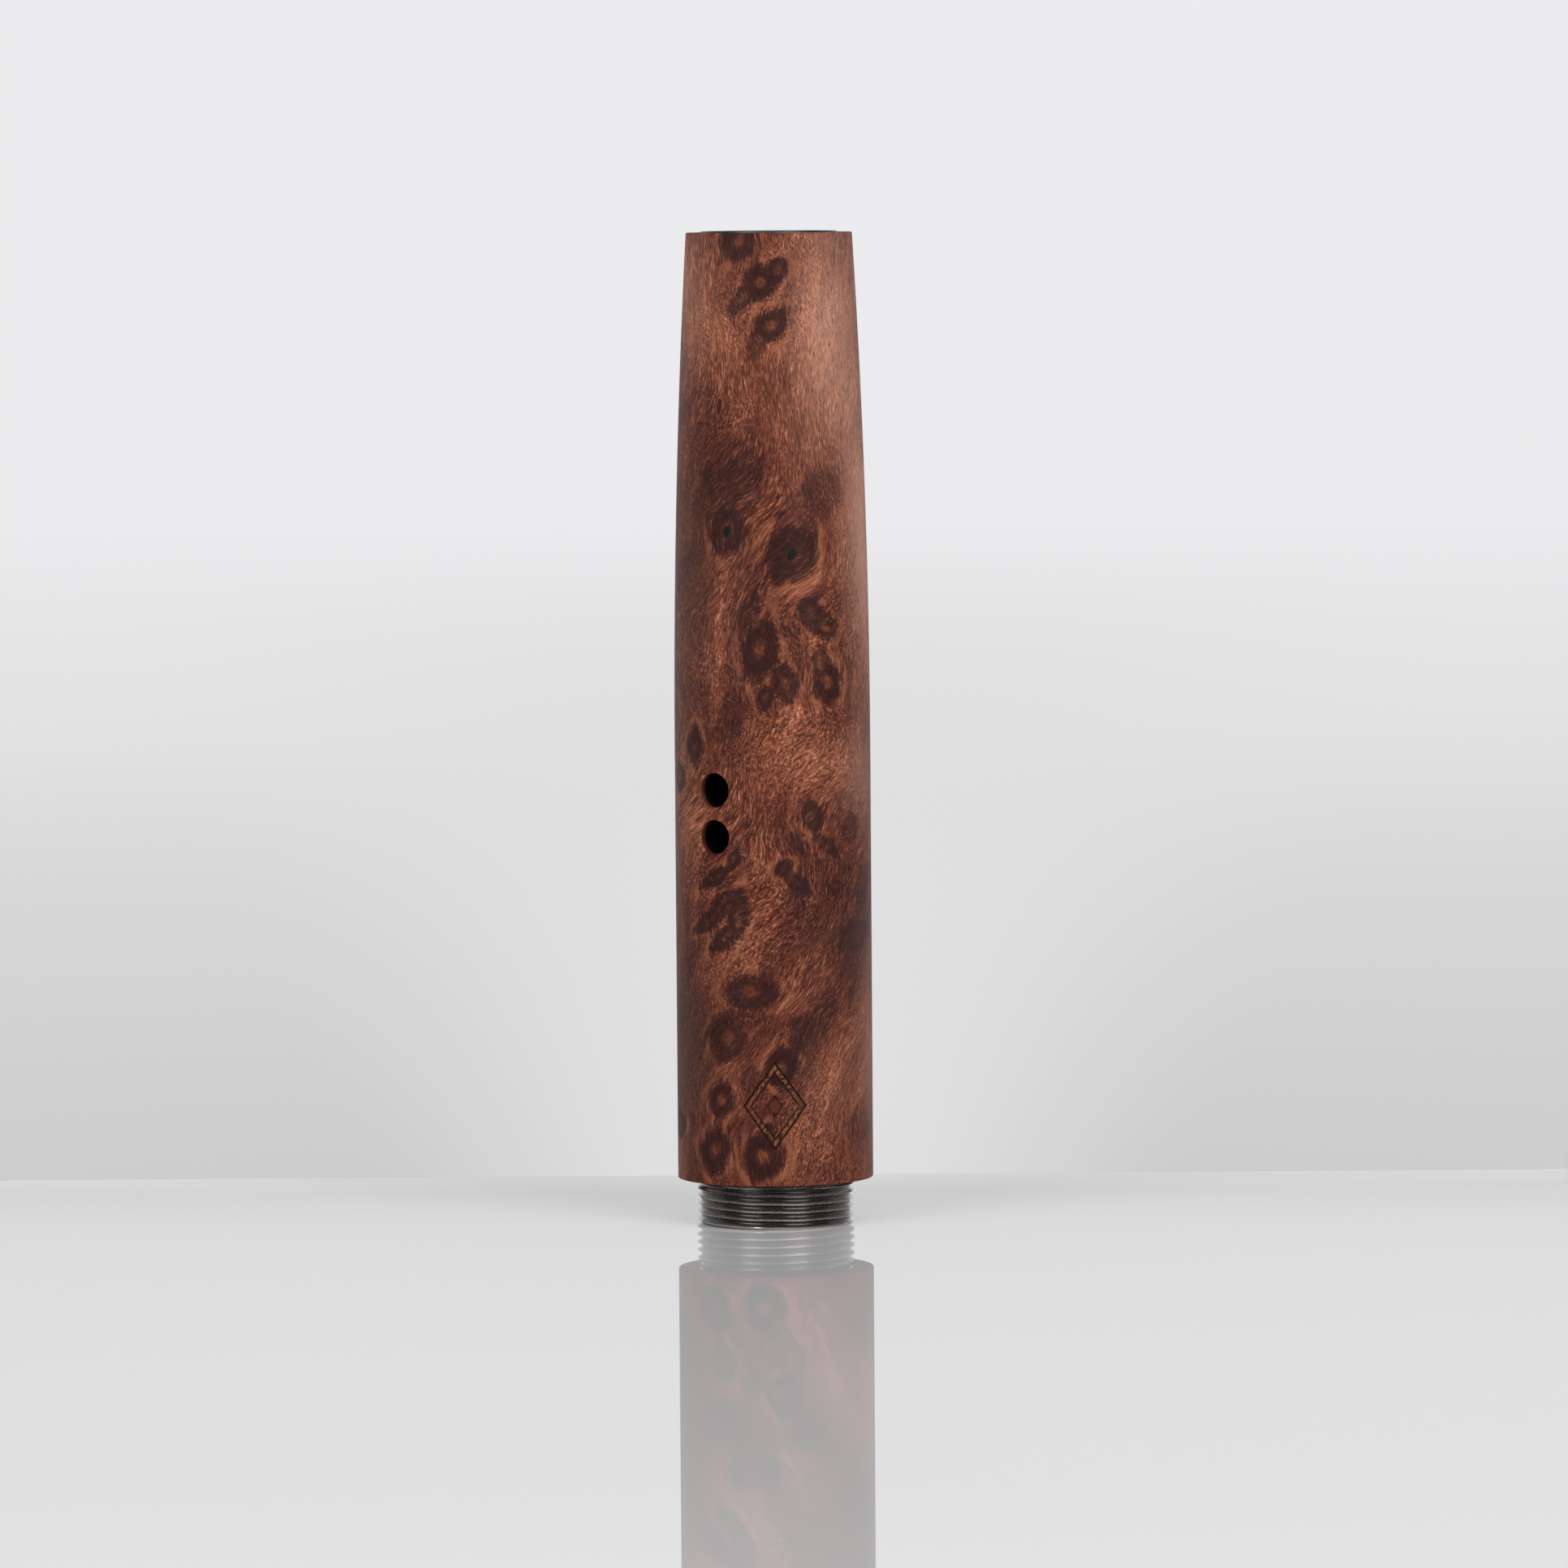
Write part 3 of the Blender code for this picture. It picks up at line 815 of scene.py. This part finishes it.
def make_collar():
    """The thread's rows follow its helix, so each column of the mesh has a phase of its own."""
    spigot_bottom = WOOD_BOTTOM + 2 * FIT
    upper = [
        (THREAD_ROOT_RADIUS, spigot_bottom),
        (SPIGOT_RADIUS, spigot_bottom),
        (SPIGOT_RADIUS, COLLAR_TOP),
        (BORE_RADIUS, COLLAR_TOP),
        (BORE_RADIUS, BORE_CHAMFER),
        (BORE_RADIUS + BORE_CHAMFER, 0.0),
    ]
    turns = math.ceil(WOOD_BOTTOM / THREAD_PITCH)
    bm = bmesh.new()
    columns = []
    for i in range(THREAD_SIDES + 1):
        angle = 2 * math.pi * i / THREAD_SIDES
        phase = THREAD_HAND * THREAD_PITCH * angle / (2 * math.pi)
        outline = []
        for row in range(-2 * THREAD_ROWS, (turns + 3) * THREAD_ROWS):
            z = min(WOOD_BOTTOM, max(0.0, phase + THREAD_PITCH * row / THREAD_ROWS))
            outline.append((thread_radius(z, phase), z))
        outline += upper
        c, s = math.cos(angle), math.sin(angle)
        columns.append([bm.verts.new((r * c, r * s, z)) for r, z in outline])
    for column, following in zip(columns, columns[1:]):
        for i in range(len(column)):
            j = (i + 1) % len(column)
            bm.faces.new((column[i], following[i], following[j], column[j]))
    bmesh.ops.remove_doubles(bm, verts=bm.verts, dist=MERGE_DISTANCE)
    bmesh.ops.dissolve_degenerate(bm, edges=bm.edges, dist=MERGE_DISTANCE)
    bmesh.ops.recalc_face_normals(bm, faces=bm.faces)
    crest = THREAD_MAJOR_RADIUS / MM
    mat = metal_material("gunmetal", GUNMETAL, 0.21, dirt=0.22, crest=crest)
    collar = add_mesh("threaded_gunmetal_collar", bm, [mat])
    finish_piece(collar, "threaded_collar")


def make_bush():
    """The brass plug in the collar: a cup open downwards, with a pin up its middle."""
    cup_radius = ring_high.x + FIT
    cup_top = ring_high.z + FIT
    pin_end = prong_low.z + PIN_SETBACK
    corners = [
        (bush_high.x - BUSH_CAP, bush_high.z),
        (bush_high.x, bush_high.z),
        (bush_high.x, bush_low.z),
        (cup_radius, bush_low.z),
        (cup_radius, cup_top),
        (PIN_RADIUS, cup_top),
        (PIN_RADIUS, pin_end),
        (PIN_RADIUS - PIN_CAP, pin_end),
    ]
    outline = rounded(corners, BUSH_ROUND, closed=False)
    mat = metal_material("bush_brass", BRASS, 0.32, dark=TARNISHED_BRASS)
    bush = add_mesh("brass_nib_bush", turned(outline, METAL_SIDES, closed=False), [mat])
    finish_piece(bush, "nib_bush")


def make_ferrule_ring():
    top, bottom, outer = ring_high.z, ring_low.z, ring_high.x
    inner = outer - RING_WALL
    corners = [(outer, top), (outer, bottom), (inner, bottom), (inner, top)]
    mat = metal_material("clutch_steel", CLUTCH_STEEL, 0.25, dirt=0.15)
    ring = add_mesh("steel_ferrule_ring", turned(rounded(corners, EDGE_ROUND), METAL_SIDES), [mat])
    finish_piece(ring, "ferrule_ring")


def make_prongs():
    """The sprung sleeve: four leaves that lean out below the neck."""
    top, bottom = prong_high.z, prong_low.z
    inner = PIN_RADIUS + FIT
    outer = inner + LEAF_THICKNESS
    lean = prong_high.x - outer
    neck = bottom + (top - bottom) * NECK_SHARE
    corners = [
        (outer, top), (outer, neck), (outer + lean, bottom),
        (inner + lean, bottom), (inner, neck), (inner, top),
    ]
    mat = metal_material("spring_steel", SPRING_STEEL, 0.22, dirt=0.15)
    prongs = add_mesh("sprung_nib_prongs", turned(rounded(corners, PRONG_ROUND), METAL_SIDES), [mat])
    slots = []
    for i in range(2):
        bm = bmesh.new()
        bmesh.ops.create_cube(bm, size=1.0)
        slot = add_mesh("slot_cutter", bm, [])
        slot.scale = (outer * 4, SLOT_WIDTH, top - bottom)
        slot.rotation_euler = (0.0, 0.0, math.pi * (i / 2 + 0.25))
        slot.location = (0.0, 0.0, neck - (top - bottom) / 2)
        slots.append(slot)
    cut(prongs, slots)
    finish_piece(prongs, "nib_prongs")


# ------------------------------------------------------------- stage and camera

SHEET_BACK = 0.052          # the glossy floor sheet ends this far behind the object
SHEET_SPREAD = 2.4          # and this far out to the sides and to the front
SHEET_THICKNESS = 3 * MM
TONE_START, TONE_END = 0.06, -0.9       # the sheet's tones run from back to front between these
ROOM_RADIUS = 3.0
ROOM_SWEEP = 0.8            # radius of the curve from the ground to the wall
WALL_HEIGHT = 1.1
ROOM_HEIGHT = 2.6
DOME_RISE = 0.6
ROOM_STEPS = 48
SWEEP_STEPS = 8
FAN_WIDTH, FAN_GROWTH = 0.045, 0.10     # half width of the painted light behind the object, and its growth
FAN_FADE = (1.1, 0.2)       # it fades between these shares of that width
FAN_REACH = (2.2, 0.5)      # and between these distances behind the object
FAN_PAINTED_LIGHT = (0.74, 0.74, 0.75)
WORLD_GREY = (0.16, 0.16, 0.165, 1.0)
# The sheet's tones are painted light and shade: a darker band just behind the object, lighter round it and
# darker again towards the front.
SHEET_LIGHT_AND_SHADE_TONES = [
    (0.000, (0.84, 0.84, 0.845)),
    (0.010, (0.84, 0.84, 0.845)),
    (0.028, (0.71, 0.71, 0.715)),
    (0.065, (0.87, 0.87, 0.875)),
    (0.10, (0.88, 0.88, 0.885)),
    (0.30, (0.79, 0.79, 0.795)),
]
ROOM_SHADE_TONES = [              # from the object out to ROOM_RADIUS; darker near it as painted shade
    (0.0, (0.59, 0.59, 0.595)),
    (0.06, (0.62, 0.62, 0.625)),
    (0.35, (0.76, 0.76, 0.77)),
    (0.75, (0.83, 0.83, 0.845)),
    (1.0, (0.84, 0.84, 0.855)),
]


def emission_material(name, stops, reach):
    """A pale surface that glows; its tone changes with the distance from the object, darker near it as
    painted shade.

    A fan of painted light, lighter ground, opens out behind the object.
    """
    n = Nodes(name)
    place = n.add("TexCoord").outputs["Object"]
    length = n.add("VectorMath")
    length.operation = "LENGTH"
    n.plug(place, length.inputs[0])
    # painted shade: the tone is darker near the object
    colour = n.ramp(n.math("DIVIDE", length.outputs["Value"], reach), stops)
    x, y, _ = n.split(place)
    fan_width = n.math("MULTIPLY_ADD", n.math("MAXIMUM", y, 0.0), FAN_GROWTH, FAN_WIDTH)
    fan = n.span(n.math("DIVIDE", n.math("ABSOLUTE", x), fan_width), *FAN_FADE)
    near = n.span(y, *FAN_REACH)
    # painted light: a lighter fan on the ground behind the object
    colour = n.mix(n.math("MULTIPLY", fan, near), colour, FAN_PAINTED_LIGHT)
    glow = n.add("Emission")
    n.plug(colour, glow.inputs["Color"])
    n.plug(glow.outputs[0], n.tree.nodes["Material Output"].inputs["Surface"])
    return n.material


def make_floor():
    """A thin pale glossy sheet; its top is the ground."""
    bm = bmesh.new()
    bmesh.ops.create_cube(bm, size=1.0)
    for vert in bm.verts:
        vert.co.x *= 2 * SHEET_SPREAD
        vert.co.y = SHEET_BACK if vert.co.y > 0 else -SHEET_SPREAD
        vert.co.z = 0.0 if vert.co.z > 0 else -SHEET_THICKNESS
    n = Nodes("floor_acrylic")
    place = n.split(n.add("TexCoord").outputs["Object"])
    # painted light and shade along the sheet, from back to front
    tone = n.ramp(n.span(place[1], TONE_START, TONE_END, smooth=False), SHEET_LIGHT_AND_SHADE_TONES)
    n.finish(base_color=tone, roughness=0.0, ior=1.5)
    floor = add_mesh("floor", bm, [n.material])
    return floor


def add_room_part(name, mat, outline, start, turn, lights_object):
    """A surface swept round +Z through an outline.

    lights_object lets it light the pieces and the floor and show in their gloss.
    """
    bm = bmesh.new()
    columns = []
    for i in range(ROOM_STEPS + 1):
        angle = start + turn * i / ROOM_STEPS
        column = []
        for radius, z in outline:
            place = (radius * math.cos(angle), radius * math.sin(angle), z - SHEET_THICKNESS)
            column.append(bm.verts.new(place))
        columns.append(column)
    for column, following in zip(columns, columns[1:]):
        for i in range(len(outline) - 1):
            bm.faces.new((column[i], following[i], following[i + 1], column[i + 1]))
    bmesh.ops.remove_doubles(bm, verts=bm.verts, dist=0.1 * MM)
    part = add_mesh(name, bm, [mat])
    part.visible_diffuse = lights_object
    part.visible_glossy = lights_object


def make_room():
    """Pale ground beyond the sheet that sweeps up into a round wall, and a dome over it."""
    mat = emission_material("room_paper", ROOM_SHADE_TONES, ROOM_RADIUS)
    level = ROOM_RADIUS - ROOM_SWEEP
    wall = [(0.0, 0.0), (0.3, 0.0), (1.0, 0.0), (level, 0.0)]
    for k in range(1, SWEEP_STEPS + 1):
        turn = math.pi / 2 * k / SWEEP_STEPS
        wall.append((level + ROOM_SWEEP * math.sin(turn), ROOM_SWEEP * (1 - math.cos(turn))))
    wall.append((ROOM_RADIUS, WALL_HEIGHT))
    dome = [(ROOM_RADIUS, WALL_HEIGHT), (ROOM_RADIUS, ROOM_HEIGHT), (0.0, ROOM_HEIGHT + DOME_RISE)]
    add_room_part("room_back", mat, wall, 0.0, math.pi, True)
    add_room_part("room_front", mat, wall, math.pi, math.pi, False)
    add_room_part("room_dome", mat, dome, 0.0, 2 * math.pi, False)


AIM_HEIGHT = 0.065          # the lights are aimed at this height on the barrel's axis
# Name, degrees round from the front towards +X, degrees up, distance, width, height and power
SOFTBOXES = [
    ("softbox_left", -39, 14, 0.95, 0.46, 0.80, 3.6),
    ("softbox_right", 35, 14, 0.95, 0.54, 0.90, 5.6),
    ("softbox_top", 0, 52, 1.0, 2.0, 0.35, 4.5),
]


def softbox(floor, name, azimuth, elevation, distance, width, height, power):
    """An area light aimed at the barrel.

    A twin of it lights only the floor, so that the glossy floor doesn't mirror it.
    """
    target = Vector((0.0, 0.0, AIM_HEIGHT))
    a, e = math.radians(azimuth), math.radians(elevation)
    direction = Vector((math.sin(a) * math.cos(e), -math.cos(a) * math.cos(e), math.sin(e)))
    light = bpy.data.lights.new(name, "AREA")
    light.shape = "RECTANGLE"
    light.size, light.size_y = width, height
    light.energy = power
    for suffix, on_floor in (("", "EXCLUDE"), ("_on_floor", "INCLUDE")):
        obj = bpy.data.objects.new(name + suffix, light)
        obj.location = target + direction * distance
        obj.rotation_euler = direction.to_track_quat("Z", "Y").to_euler()
        obj.visible_camera = False
        obj.visible_glossy = on_floor == "EXCLUDE"
        receivers = bpy.data.collections.new(name + suffix)
        receivers.objects.link(floor)
        receivers.collection_objects[0].light_linking.link_state = on_floor
        obj.light_linking.receiver_collection = receivers
        bpy.context.scene.collection.objects.link(obj)


def make_lights(floor):
    for box in SOFTBOXES:
        softbox(floor, *box)
    world = bpy.data.worlds.new("studio")
    world.use_nodes = True
    world.node_tree.nodes["Background"].inputs["Color"].default_value = WORLD_GREY
    bpy.context.scene.world = world


CAMERA_DISTANCE = 1.1335
CAMERA_HEIGHT = 0.135
CAMERA_SIDE = 0.0020
CAMERA_PITCH = math.radians(4.0)
CAMERA_ROLL = math.radians(0.42)
FIELD_OF_VIEW = math.radians(10.0)
SENSOR_WIDTH = 36.0
CLIP_START, CLIP_END = 0.01, 20.0


def make_camera():
    data = bpy.data.cameras.new("camera")
    data.sensor_width = SENSOR_WIDTH
    data.lens = SENSOR_WIDTH / 2 / math.tan(FIELD_OF_VIEW / 2)
    data.clip_start, data.clip_end = CLIP_START, CLIP_END
    camera = bpy.data.objects.new("camera", data)
    bpy.context.scene.collection.objects.link(camera)
    camera.rotation_mode = "XYZ"
    camera.location = (CAMERA_SIDE, -CAMERA_DISTANCE, CAMERA_HEIGHT)
    camera.rotation_euler = (math.pi / 2 - CAMERA_PITCH, CAMERA_ROLL, 0.0)
    bpy.context.scene.camera = camera


bpy.context.scene.view_settings.view_transform = "Standard"
make_barrel()
make_liner()
make_collar()
make_bush()
make_ferrule_ring()
make_prongs()
floor = make_floor()
make_room()
make_lights(floor)
make_camera()
